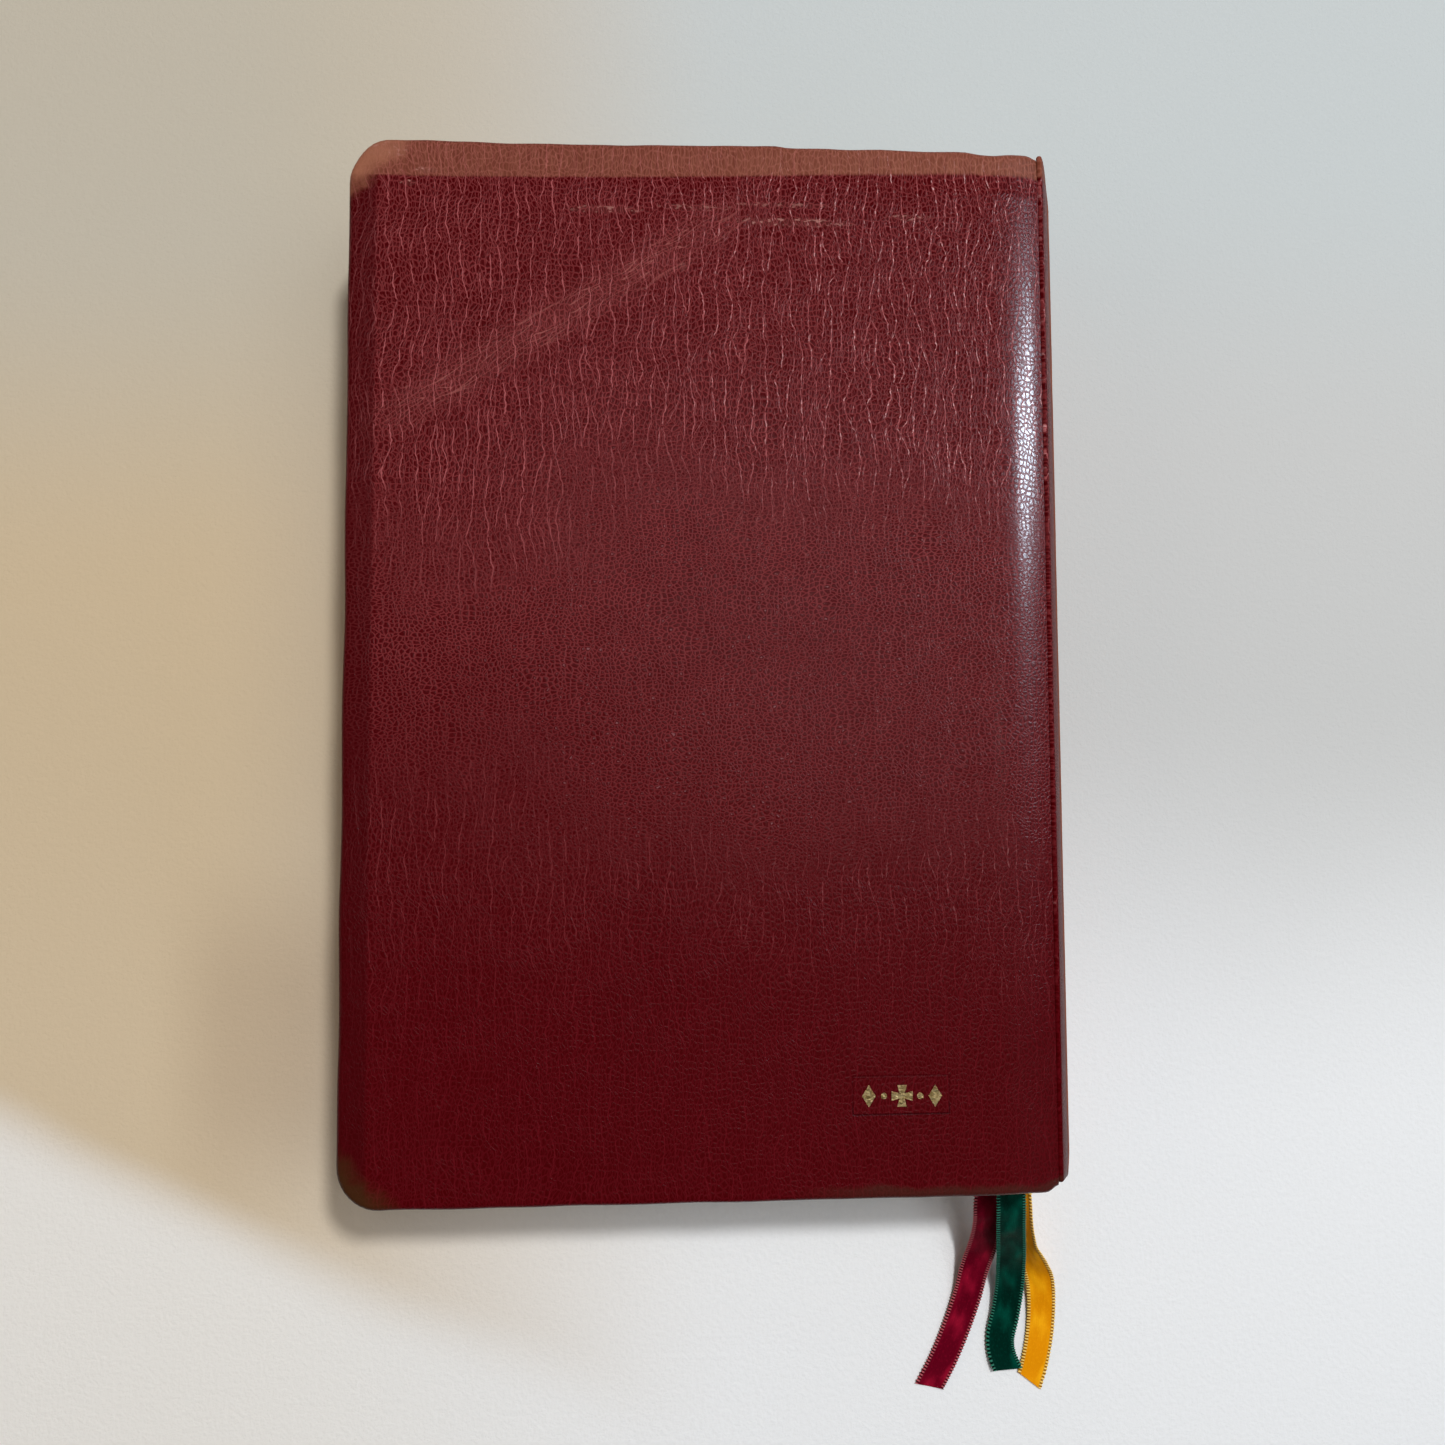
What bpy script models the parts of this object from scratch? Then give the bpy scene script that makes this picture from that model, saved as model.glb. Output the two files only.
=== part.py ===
"""Leather-bound prayer book, closed, lying on its front cover with the back cover uppermost.

Metres, +Z up.  +X points from the fore-edge to the spine, +Y from the tail to the head.
The surface that the book lies on is z = 0, and x = 0, y = 0 is the middle of the closed book.
"""

import math

import bmesh
import bpy
from mathutils import Matrix, Vector

# --- driving dimensions -------------------------------------------------------------------------
COVER_LENGTH = 0.210  # head to tail
COVER_WIDTH = 0.1407  # fore-edge to the crease beside the spine
BOOK_THICKNESS = 0.042  # outer face to outer face
SPINE_BULGE = 0.0068  # how far the rounded spine stands out from the crease
COVER_CORNER = 0.0085  # radius of the two fore-edge corners of a cover

CLEARANCE = 0.0003  # between pieces that touch

LEATHER = 0.0010  # outer skin of a cover
BOARD = 0.0010  # flexible card inside a cover
TURN_IN = 0.0006  # leather folded over onto the inside of the card
TURN_IN_WIDTH = 0.014
WINDOW_CORNER = 0.0006  # small radius where the turned-in margins meet
PASTEDOWN = 0.0004
BOARD_SETBACK = 0.004  # card ends this far short of the cover's spine edge, so that it bends there

SPINE_LEATHER = 0.0012
SPINE_INLAY = 0.0008
SPINE_PAPER = 0.0004
SPINE_MULL = 0.0004
THREAD = 0.0005

FLYLEAF = 0.0003
SECTION_COUNT = 12  # bundles of sewn sections
FANNING_BUNDLES = 3  # uppermost bundles, which lift as the book is opened from the back
SQUARE_HEAD = 0.0045  # cover standing out past the pages at head and tail
SQUARE_FORE = 0.0050  # and at the fore-edge
PAGE_CORNER = 0.0070

SPINE_LEATHER_LIFT = 0.0022  # spine leather starts this far in from the outer faces

HEADBAND_BEAD = 0.0010  # radius of the bead
RIBBON_WIDTH = 0.0060
RIBBON_THICKNESS = 0.0003
STATION_SPACING = 0.045  # between sewing stations

ARC_STEPS = 20
CORNER_STEPS = 6

# --- values that follow --------------------------------------------------------------------------
COVER_DEPTH = LEATHER + CLEARANCE + BOARD + CLEARANCE + TURN_IN
X_FORE = -(COVER_WIDTH + SPINE_BULGE) / 2
X_CREASE = X_FORE + COVER_WIDTH
X_SPINE = X_CREASE + SPINE_BULGE
Y_HEAD = COVER_LENGTH / 2
MIDDLE = BOOK_THICKNESS / 2

SPINE_RADIUS = (MIDDLE**2 + SPINE_BULGE**2) / (2 * SPINE_BULGE)
SPINE_CENTRE = X_SPINE - SPINE_RADIUS

COVER_END = X_CREASE - CLEARANCE
Z_HINGE_FRONT = COVER_DEPTH / 2 + CLEARANCE
Z_HINGE_BACK = BOOK_THICKNESS - COVER_DEPTH / 2
# Each cover turns on a line inside the joint, far enough past the crease that the front cover,
# laid open, clears the rounded spine.
SPINE_BESIDE_OPEN_COVER = SPINE_CENTRE + math.sqrt(SPINE_RADIUS**2 - (MIDDLE - 2 * Z_HINGE_FRONT) ** 2)
X_HINGE = (COVER_END + SPINE_BESIDE_OPEN_COVER + CLEARANCE) / 2

INLAY_RADIUS = SPINE_RADIUS - SPINE_LEATHER - CLEARANCE
PAPER_RADIUS = INLAY_RADIUS - SPINE_INLAY - CLEARANCE
MULL_RADIUS = PAPER_RADIUS - SPINE_PAPER - CLEARANCE
THREAD_RADIUS = MULL_RADIUS - SPINE_MULL - CLEARANCE
BLOCK_RADIUS = THREAD_RADIUS - THREAD - CLEARANCE

FLYLEAF_BOTTOM = COVER_DEPTH + CLEARANCE
BLOCK_BOTTOM = FLYLEAF_BOTTOM + FLYLEAF + CLEARANCE
BLOCK_TOP = BOOK_THICKNESS - BLOCK_BOTTOM
BLOCK_HALF = (BLOCK_TOP - BLOCK_BOTTOM) / 2
Y_PAGES = Y_HEAD - SQUARE_HEAD
PAGE_WIDTH = SPINE_CENTRE + math.sqrt(BLOCK_RADIUS**2 - BLOCK_HALF**2) - X_FORE - SQUARE_FORE

# A ribbon lies above the bundle whose number it names, with its edge inset from the bundle's folds.
# Its tail's route starts where it leaves the pages' tail edge and runs down to the surface. Each
# point is an offset in x and y from there, and a height above the surface.
RIBBONS = {
    "yellow": {
        "above": 3,
        "inset": 0.0028,
        "route": [
            (0.0020, -0.0047, 0.0122),
            (0.0044, -0.0117, 0.0100),
            (0.0070, -0.0192, 0.0060),
            (0.0096, -0.0262, 0.0026),
            (0.0122, -0.0322, 0.0010),
            (0.0138, -0.0387, 0.0005),
            (0.0134, -0.0457, 0.0005),
            (0.0121, -0.0517, 0.0005),
            (0.0108, -0.0562, 0.0005),
        ],
    },
    "red": {
        "above": 5,
        "inset": 0.0057,
        "route": [
            (0.0005, -0.0047, 0.0176),
            (0.0012, -0.0122, 0.0135),
            (0.0019, -0.0207, 0.0064),
            (0.0005, -0.0297, 0.0018),
            (-0.0028, -0.0376, 0.0006),
            (-0.0063, -0.0459, 0.0005),
            (-0.0103, -0.0554, 0.0005),
        ],
    },
    "green": {
        "above": 7,
        "inset": 0.0034,
        "route": [
            (0.0011, -0.0047, 0.0232),
            (0.0024, -0.0112, 0.0186),
            (0.0043, -0.0187, 0.0108),
            (0.0057, -0.0257, 0.0050),
            (0.0059, -0.0322, 0.0023),
            (0.0051, -0.0387, 0.0014),
            (0.0039, -0.0440, 0.0011),
            (0.0040, -0.0487, 0.0013),
            (0.0061, -0.0532, 0.0017),
        ],
    },
}

COLOURS = {
    "burgundy_leather": ((0.115, 0.010, 0.016), 0.42),
    "board_card": ((0.35, 0.30, 0.24), 0.9),
    "spine_card": ((0.42, 0.37, 0.30), 0.9),
    "lining_paper": ((0.45, 0.38, 0.28), 0.9),
    "mull_gauze": ((0.78, 0.75, 0.68), 0.95),
    "linen_thread": ((0.85, 0.82, 0.74), 0.8),
    "endpaper": ((0.83, 0.79, 0.70), 0.85),
    "bible_paper": ((0.72, 0.56, 0.27), 0.6),
    "headband_silk": ((0.62, 0.45, 0.12), 0.6),
    "ribbon_red": ((0.30, 0.008, 0.035), 0.45),
    "ribbon_green": ((0.010, 0.12, 0.075), 0.45),
    "ribbon_yellow": ((0.90, 0.42, 0.015), 0.45),
}


# --- helpers -------------------------------------------------------------------------------------
def material(name):
    """Principled material of a named finish, made once."""
    made = bpy.data.materials.get(name)
    if made:
        return made
    colour, roughness = COLOURS[name]
    made = bpy.data.materials.new(name)
    made.use_nodes = True
    shader = made.node_tree.nodes["Principled BSDF"]
    shader.inputs["Base Color"].default_value = (*colour, 1.0)
    shader.inputs["Roughness"].default_value = roughness
    shader.inputs["Metallic"].default_value = 0.0
    made.diffuse_color = (*colour, 1.0)
    return made


def pivot(name, location):
    """Empty on a joint's axis, which the pieces of one moving body are parented to."""
    empty = bpy.data.objects.new(name, None)
    empty.empty_display_size = 0.01
    empty.location = location
    bpy.context.collection.objects.link(empty)
    return empty


def add_object(name, bm, finish, parent, smooth=False):
    """Turn a bmesh in world coordinates into an object with its origin on its parent's axis."""
    bmesh.ops.recalc_face_normals(bm, faces=bm.faces)
    bmesh.ops.transform(bm, matrix=Matrix.Translation(-parent.location), verts=bm.verts)
    mesh = bpy.data.meshes.new(name)
    bm.to_mesh(mesh)
    bm.free()
    if smooth:
        mesh.shade_smooth()
        mesh.set_sharp_from_angle(angle=math.radians(40))
    if finish:
        mesh.materials.append(material(finish))
    obj = bpy.data.objects.new(name, mesh)
    obj.parent = parent
    bpy.context.collection.objects.link(obj)
    return obj


def corner(centre, radius, start_degrees):
    """Points of a quarter circle, anticlockwise from the given angle."""
    points = []
    for step in range(CORNER_STEPS + 1):
        angle = math.radians(start_degrees + 90 * step / CORNER_STEPS)
        x = centre[0] + radius * math.cos(angle)
        y = centre[1] + radius * math.sin(angle)
        points.append((x, y))
    return points


def leaf_outline(x_left, x_right, y_half, radius):
    """Rectangle with its two left-hand corners rounded, as a cover or a page has at the fore-edge."""
    outline = [(x_right, -y_half), (x_right, y_half)]
    outline += corner((x_left + radius, y_half - radius), radius, 90)
    outline += corner((x_left + radius, -y_half + radius), radius, 180)
    return outline


def prism(name, outline, z_a, z_b, finish, parent):
    """Solid between two heights with an outline in X and Y."""
    bottom, top = min(z_a, z_b), max(z_a, z_b)
    bm = bmesh.new()
    base = bm.faces.new([bm.verts.new((x, y, bottom)) for x, y in outline])
    grown = bmesh.ops.extrude_face_region(bm, geom=[base])
    moved = [item for item in grown["geom"] if isinstance(item, bmesh.types.BMVert)]
    bmesh.ops.translate(bm, verts=moved, vec=(0, 0, top - bottom))
    return add_object(name, bm, finish, parent)


def spine_band(name, radius, thickness, half_height, y_low, y_high, finish, parent):
    """Layer bent round the spine: a band of a circle in X and Z, extruded along Y.

    radius is its outer radius, and half_height is where its outer face ends, from mid-thickness.
    """
    reach = math.asin(half_height / radius)
    angles = [reach * (2 * step / ARC_STEPS - 1) for step in range(ARC_STEPS + 1)]
    profile = [(radius, angle) for angle in angles]
    profile += [(radius - thickness, angle) for angle in reversed(angles)]
    bm = bmesh.new()
    ring = []
    for r, angle in profile:
        x = SPINE_CENTRE + r * math.cos(angle)
        z = MIDDLE + r * math.sin(angle)
        ring.append(bm.verts.new((x, y_low, z)))
    end = bm.faces.new(ring)
    grown = bmesh.ops.extrude_face_region(bm, geom=[end])
    moved = [item for item in grown["geom"] if isinstance(item, bmesh.types.BMVert)]
    bmesh.ops.translate(bm, verts=moved, vec=(0, y_high - y_low, 0))
    return add_object(name, bm, finish, parent, smooth=True)


def cutter(name, outline, z_a, z_b, parent):
    """Prism that is only used to cut another piece."""
    tool = prism(name, outline, z_a, z_b, None, parent)
    tool.hide_render = True
    tool.display_type = "WIRE"
    return tool


def cut(target, tool):
    boolean = target.modifiers.new(tool.name, "BOOLEAN")
    boolean.operation = "DIFFERENCE"
    boolean.solver = "EXACT"
    boolean.object = tool


# --- covers --------------------------------------------------------------------------------------
def cover(side, z_outer, inward, parent):
    """Leather shell with its turned-in margins, the card inside it and the pasted-down endpaper.

    z_outer is the height of the cover's outer face, and inward is +1 or -1 along Z.
    """
    cavity_top = LEATHER + CLEARANCE + BOARD + CLEARANCE
    past_end = COVER_END + BOARD_SETBACK
    shell_outline = leaf_outline(X_FORE, COVER_END, Y_HEAD, COVER_CORNER)
    z_inner = z_outer + inward * COVER_DEPTH
    shell = prism(f"{side}_cover_leather", shell_outline, z_outer, z_inner, "burgundy_leather", parent)

    cavity_outline = leaf_outline(X_FORE + LEATHER, past_end, Y_HEAD - LEATHER, COVER_CORNER - LEATHER)
    cavity = cutter(
        f"cut_{side}_card_pocket",
        cavity_outline,
        z_outer + inward * LEATHER,
        z_outer + inward * cavity_top,
        parent,
    )
    cut(shell, cavity)

    window_x = X_FORE + TURN_IN_WIDTH
    window_y = Y_HEAD - TURN_IN_WIDTH
    window_outline = leaf_outline(window_x, past_end, window_y, WINDOW_CORNER)
    window = cutter(
        f"cut_{side}_turn_in_window",
        window_outline,
        z_outer + inward * (LEATHER + CLEARANCE),
        z_outer + inward * (COVER_DEPTH + CLEARANCE),
        parent,
    )
    cut(shell, window)

    inset = LEATHER + CLEARANCE
    board_end = COVER_END - BOARD_SETBACK
    board_outline = leaf_outline(X_FORE + inset, board_end, Y_HEAD - inset, COVER_CORNER - inset)
    prism(
        f"{side}_cover_board",
        board_outline,
        z_outer + inward * inset,
        z_outer + inward * (inset + BOARD),
        "board_card",
        parent,
    )

    paper_inset = TURN_IN_WIDTH + CLEARANCE
    paper_outline = leaf_outline(X_FORE + paper_inset, COVER_END, Y_HEAD - paper_inset, WINDOW_CORNER)
    prism(
        f"{side}_pastedown",
        paper_outline,
        z_outer + inward * cavity_top,
        z_outer + inward * (cavity_top + PASTEDOWN),
        "endpaper",
        parent,
    )


# --- pages ---------------------------------------------------------------------------------------
def bundle_heights():
    """(bottom, top) of each bundle, with room left between bundles for each ribbon."""
    ribbon_room = RIBBON_THICKNESS + CLEARANCE
    occupied = {ribbon["above"] for ribbon in RIBBONS.values()}
    free = BLOCK_TOP - BLOCK_BOTTOM - (SECTION_COUNT - 1) * CLEARANCE - len(occupied) * ribbon_room
    thickness = free / SECTION_COUNT
    heights = []
    bottom = BLOCK_BOTTOM
    for number in range(1, SECTION_COUNT + 1):
        heights.append((bottom, bottom + thickness))
        bottom += thickness + CLEARANCE
        if number in occupied:
            bottom += ribbon_room
    return heights


def spine_end(bottom, top):
    """Where a bundle's folds meet the rounded back of the block."""
    offset = max(abs(bottom - MIDDLE), abs(top - MIDDLE))
    return SPINE_CENTRE + math.sqrt(BLOCK_RADIUS**2 - offset**2)


def page_stack(name, bottom, top, finish, parent):
    x_right = spine_end(bottom, top)
    outline = leaf_outline(x_right - PAGE_WIDTH, x_right, Y_PAGES, PAGE_CORNER)
    return prism(name, outline, bottom, top, finish, parent)


# --- headbands -----------------------------------------------------------------------------------
def headband(name, y_centre, parent):
    """Round bead along the back of the pages at one end of the spine."""
    radius = BLOCK_RADIUS - HEADBAND_BEAD - CLEARANCE
    reach = math.asin((BLOCK_HALF - HEADBAND_BEAD) / BLOCK_RADIUS)
    sides = 10
    bm = bmesh.new()
    rings = []
    for step in range(ARC_STEPS + 1):
        angle = reach * (2 * step / ARC_STEPS - 1)
        out = Vector((math.cos(angle), 0, math.sin(angle)))
        centre = Vector((SPINE_CENTRE, y_centre, MIDDLE)) + radius * out
        ring = []
        for side in range(sides):
            turn = 2 * math.pi * side / sides
            offset = HEADBAND_BEAD * (math.cos(turn) * out + math.sin(turn) * Vector((0, 1, 0)))
            ring.append(bm.verts.new(centre + offset))
        rings.append(ring)
    for first, second in zip(rings, rings[1:]):
        for side in range(sides):
            after = (side + 1) % sides
            bm.faces.new((first[side], first[after], second[after], second[side]))
    bm.faces.new(rings[0])
    bm.faces.new(rings[-1])
    return add_object(name, bm, "headband_silk", parent, smooth=True)


# --- ribbons -------------------------------------------------------------------------------------
def smooth_route(points, steps=5):
    """Catmull-Rom curve through the points."""
    path = [Vector(point) for point in points]
    path = [2 * path[0] - path[1]] + path + [2 * path[-1] - path[-2]]
    curve = []
    for a, b, c, d in zip(path, path[1:], path[2:], path[3:]):
        for step in range(steps):
            t = step / steps
            straight = 2 * b + (c - a) * t
            bend = (2 * a - 5 * b + 4 * c - d) * t**2 + (3 * b - a - 3 * c + d) * t**3
            curve.append(0.5 * (straight + bend))
    curve.append(path[-2])
    return curve


def flat_strip(name, route, finish, parent):
    """Flat band of ribbon along a route that starts towards the tail, its width kept level."""
    bm = bmesh.new()
    rings = []
    for index, point in enumerate(route):
        ahead = route[min(index + 1, len(route) - 1)] - route[max(index - 1, 0)]
        if index == 0:
            ahead = Vector((0, -1, 0))
        across = ahead.cross(Vector((0, 0, 1))).normalized() * RIBBON_WIDTH / 2
        normal = across.cross(ahead).normalized() * RIBBON_THICKNESS / 2
        corners = (across + normal, across - normal, -across - normal, normal - across)
        rings.append([bm.verts.new(point + offset) for offset in corners])
    for first, second in zip(rings, rings[1:]):
        for side in range(4):
            after = (side + 1) % 4
            bm.faces.new((first[side], first[after], second[after], second[side]))
    bm.faces.new(rings[0])
    bm.faces.new(rings[-1])
    return add_object(name, bm, finish, parent)


def ribbon(colour, heights, parent):
    """Marker between two bundles, and its free tail from the pages' tail edge onto the surface."""
    spec = RIBBONS[colour]
    below, above = heights[spec["above"] - 1], heights[spec["above"]]
    x = min(spine_end(*below), spine_end(*above)) - spec["inset"] - RIBBON_WIDTH / 2
    z = below[1] + CLEARANCE + RIBBON_THICKNESS / 2
    inner = [Vector((x, Y_PAGES, z)), Vector((x, -Y_PAGES, z))]
    flat_strip(f"ribbon_{colour}_inner", inner, f"ribbon_{colour}", parent)
    y_exit = -Y_PAGES - CLEARANCE
    route = [(x, y_exit, z)] + [(x + dx, y_exit + dy, height) for dx, dy, height in spec["route"]]
    flat_strip(f"ribbon_{colour}_tail", smooth_route(route), f"ribbon_{colour}", parent)


# --- assembly ------------------------------------------------------------------------------------
def spine_linings(parent):
    y_leather = Y_HEAD
    y_inlay = Y_HEAD - LEATHER - CLEARANCE
    y_lining = Y_PAGES - CLEARANCE
    inner_half = MIDDLE - FLYLEAF_BOTTOM
    spine_band(
        "spine_leather",
        SPINE_RADIUS,
        SPINE_LEATHER,
        MIDDLE - SPINE_LEATHER_LIFT,
        -y_leather,
        y_leather,
        "burgundy_leather",
        parent,
    )
    spine_band("spine_inlay", INLAY_RADIUS, SPINE_INLAY, inner_half, -y_inlay, y_inlay, "spine_card", parent)
    spine_band(
        "spine_paper_lining",
        PAPER_RADIUS,
        SPINE_PAPER,
        inner_half,
        -y_lining,
        y_lining,
        "lining_paper",
        parent,
    )
    spine_band("spine_mull", MULL_RADIUS, SPINE_MULL, BLOCK_HALF, -y_lining, y_lining, "mull_gauze", parent)
    stations = {
        "kettle_stitch_tail": -2,
        "sewing_thread_tail": -1,
        "sewing_thread_middle": 0,
        "sewing_thread_head": 1,
        "kettle_stitch_head": 2,
    }
    for name, place in stations.items():
        low = place * STATION_SPACING - THREAD / 2
        reach = BLOCK_HALF - THREAD
        spine_band(name, THREAD_RADIUS, THREAD, reach, low, low + THREAD, "linen_thread", parent)


def build():
    for obj in list(bpy.data.objects):
        bpy.data.objects.remove(obj, do_unlink=True)

    text_block = pivot("text_block_origin", (0, 0, 0))
    back_cover = pivot("back_cover_axis", (X_HINGE, 0, Z_HINGE_BACK))
    front_cover = pivot("front_cover_axis", (X_HINGE, 0, Z_HINGE_FRONT))

    cover("front", 0.0, 1, front_cover)
    cover("back", BOOK_THICKNESS, -1, back_cover)
    spine_linings(text_block)
    y_band = Y_PAGES + CLEARANCE + HEADBAND_BEAD
    headband("headband_head", y_band, text_block)
    headband("headband_tail", -y_band, text_block)

    heights = bundle_heights()
    for number, (bottom, top) in enumerate(heights, start=1):
        parent = text_block
        if number > SECTION_COUNT - FANNING_BUNDLES:
            parent = pivot(f"pages_{number:02d}_axis", (spine_end(bottom, top), 0, top))
        page_stack(f"pages_{number:02d}", bottom, top, "bible_paper", parent)

    top = BOOK_THICKNESS - FLYLEAF_BOTTOM
    block_end = spine_end(BLOCK_BOTTOM, BLOCK_TOP)
    back_turn = pivot("back_flyleaf_axis", (block_end, 0, top))
    leaf = leaf_outline(block_end - PAGE_WIDTH, block_end, Y_PAGES, PAGE_CORNER)
    prism("back_flyleaf", leaf, top - FLYLEAF, top, "endpaper", back_turn)
    prism("front_flyleaf", leaf, FLYLEAF_BOTTOM, FLYLEAF_BOTTOM + FLYLEAF, "endpaper", front_cover)

    for colour in RIBBONS:
        ribbon(colour, heights, text_block)


build()
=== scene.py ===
import math

import bmesh
import bpy
import numpy as np
from mathutils import Matrix, Vector, noise


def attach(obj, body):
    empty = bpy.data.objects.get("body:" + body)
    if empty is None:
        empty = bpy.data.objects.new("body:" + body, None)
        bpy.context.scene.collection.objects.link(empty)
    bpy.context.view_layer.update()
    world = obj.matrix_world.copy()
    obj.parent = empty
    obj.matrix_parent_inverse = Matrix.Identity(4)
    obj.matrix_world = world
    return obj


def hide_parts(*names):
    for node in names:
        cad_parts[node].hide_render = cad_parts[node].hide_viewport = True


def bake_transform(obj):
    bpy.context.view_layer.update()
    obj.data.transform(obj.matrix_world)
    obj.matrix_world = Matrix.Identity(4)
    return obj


# A closed prayer book in limp burgundy leather, lying on its front cover with its back cover up.
# X runs from the fore-edge to the spine, Y from the tail to the head and Z up from the table.
# Shapes are worked out in millimetres and turned into metres where the meshes are made.

MM = 0.001

# The case: the two covers and the spine.
X_FORE = -73.75
X_END = 67.2
Y_HEAD = 105.0
THICKNESS = 42.0
COVER_DEPTH = 3.2
COVER_CORNER = 8.5
TURN_IN = 14.0
RECESS_DEPTH = 2.5
SHOULDER_START = 55.5
SHOULDER_DROP = 2.0
FORE_MARGIN = 5.6
HEAD_MARGIN = 7.0
GRID_STEP = 2.2
SPINE_RADIUS = 35.83
SPINE_CENTRE = (37.92, 21.0)
SPINE_LEATHER = 1.2
SPINE_REACH = 32.8
SPINE_GAP = 0.8
SPINE_STEPS = 44
SPINE_EDGE_ROUND = 0.5
OUTER_EDGE_ROUND = 1.15
INNER_EDGE_ROUND = 0.9

# The pages.
BLOCK_RADIUS = 31.03
PAGE_WIDTH = 132.7
PAGE_HALF_LENGTH = 100.5
PAGE_CORNER = 7.0
# Each bundle swells past its solid by this much on both faces, and is pinched back by it beside the spine.
PAGE_SWELL = 0.13
LEAF_STEP = 0.55
PAGE_STEP = 12.0
BUNDLES = (
    (4.1, 6.49), (6.79, 9.18), (9.48, 11.87), (12.78, 15.17), (15.47, 17.86), (18.76, 21.15),
    (21.45, 23.84), (24.74, 27.13), (27.43, 29.83), (30.12, 32.52), (32.82, 35.21), (35.51, 37.9),
)
BUNDLE_BODIES = {10: "pages_10", 11: "pages_11", 12: "pages_12"}

# The ribbons. Each point is x, y, z and the roll of the ribbon about its own line in degrees.
RIBBON_WIDTH = 6.0
RIBBON_THICKNESS = 0.26
PICOT_PITCH = 0.70
PICOT_LOOP = 0.26
RIBBON_CUP = 0.22
RIBBON_SHARES = (-1, -0.94, -0.86, -0.6, -0.3, 0, 0.3, 0.6, 0.86, 0.94, 1)
LINE_STEPS = 40
# The least height of a ribbon above the table, in metres.
TABLE_CLEARANCE = 0.00005
RIBBON_ROUTES = {
    "green": (
        (61.9, -100.8, 24.3, 0), (61.9, -106.0, 24.0, 0), (62.4, -112.0, 22.4, 2), (63.3, -118.0, 18.6, 6),
        (64.7, -123.5, 13.4, 14), (66.1, -129.5, 7.6, 20), (66.5, -135.0, 4.4, 26), (65.9, -140.5, 3.0, 28),
        (64.9, -145.8, 2.2, 24), (65.3, -149.6, 2.0, 16), (66.6, -152.9, 1.9, 4),
    ),
    "red": (
        (59.8, -100.8, 18.3, 0), (59.4, -106.0, 18.4, 0), (58.9, -112.5, 17.0, 4), (59.5, -118.0, 13.6, 8),
        (59.6, -123.5, 9.2, 12), (58.8, -130.0, 4.4, 12), (57.7, -136.5, 2.0, 8), (55.2, -143.9, 1.1, 6),
        (52.3, -150.5, 0.8, 4), (49.1, -156.4, 0.6, 2),
    ),
    "yellow": (
        (61.9, -100.8, 12.3, 0), (64.6, -105.5, 12.8, 20), (66.7, -110.5, 12.6, 48), (67.6, -114.8, 11.8, 60),
        (68.3, -119.2, 10.6, 64), (69.6, -124.1, 8.4, 58), (72.1, -129.0, 5.4, 40), (74.0, -133.8, 3.0, 18),
        (74.6, -140.0, 1.4, 6), (74.2, -146.2, 0.8, 2), (73.0, -152.2, 0.6, 0), (71.8, -156.0, 0.5, 0),
    ),
}
RIBBON_CUTS = {"green": 0.9, "red": -0.9, "yellow": 1.1}

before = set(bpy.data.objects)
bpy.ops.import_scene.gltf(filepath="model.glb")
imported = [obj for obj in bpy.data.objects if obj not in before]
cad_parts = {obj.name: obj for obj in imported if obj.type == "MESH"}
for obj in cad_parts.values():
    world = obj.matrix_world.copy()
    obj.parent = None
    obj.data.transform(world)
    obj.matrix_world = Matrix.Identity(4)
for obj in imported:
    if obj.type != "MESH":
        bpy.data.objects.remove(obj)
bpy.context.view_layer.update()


def smooth_step(low, high, value):
    share = min(max((value - low) / (high - low), 0.0), 1.0)
    return share * share * (3 - 2 * share)


# Camera and light

CAMERA_PLACE = (-22.412, -32.402, 326.542)
CAMERA_RIGHT = (0.996792618, -0.00510887, 0.07986474)
CAMERA_UP = (-0.00069589, 0.99736917, 0.07248618)
CAMERA_BACK = (-0.08002495, -0.07230927, 0.99416667)
CAMERA_LENS = 36
CAMERA_SENSOR = 36
CAMERA_CLIP = (0.01, 20)


def add_camera():
    data = bpy.data.cameras.new("camera")
    data.lens = CAMERA_LENS
    data.sensor_width = CAMERA_SENSOR
    data.clip_start, data.clip_end = CAMERA_CLIP
    camera = bpy.data.objects.new("camera", data)
    bpy.context.scene.collection.objects.link(camera)
    turn = Matrix((CAMERA_RIGHT, CAMERA_UP, CAMERA_BACK)).transposed().to_4x4()
    camera.matrix_world = Matrix.Translation(Vector(CAMERA_PLACE) * MM) @ turn
    bpy.context.scene.camera = camera


def add_area_light(name, place, target, size, power, colour):
    data = bpy.data.lights.new(name, "AREA")
    data.shape = "RECTANGLE"
    data.size, data.size_y = size
    data.energy = power
    data.color = colour
    light = bpy.data.objects.new(name, data)
    bpy.context.scene.collection.objects.link(light)
    place, target = Vector(place), Vector(target)
    light.location = place
    light.rotation_euler = (target - place).to_track_quat("-Z", "Y").to_euler()
    return light


add_camera()
bpy.context.scene.view_settings.view_transform = "Standard"


# Finishes

PAPER_ROUGHNESS = 0.8
FIBRE_ROUGHNESS = 0.85


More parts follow.
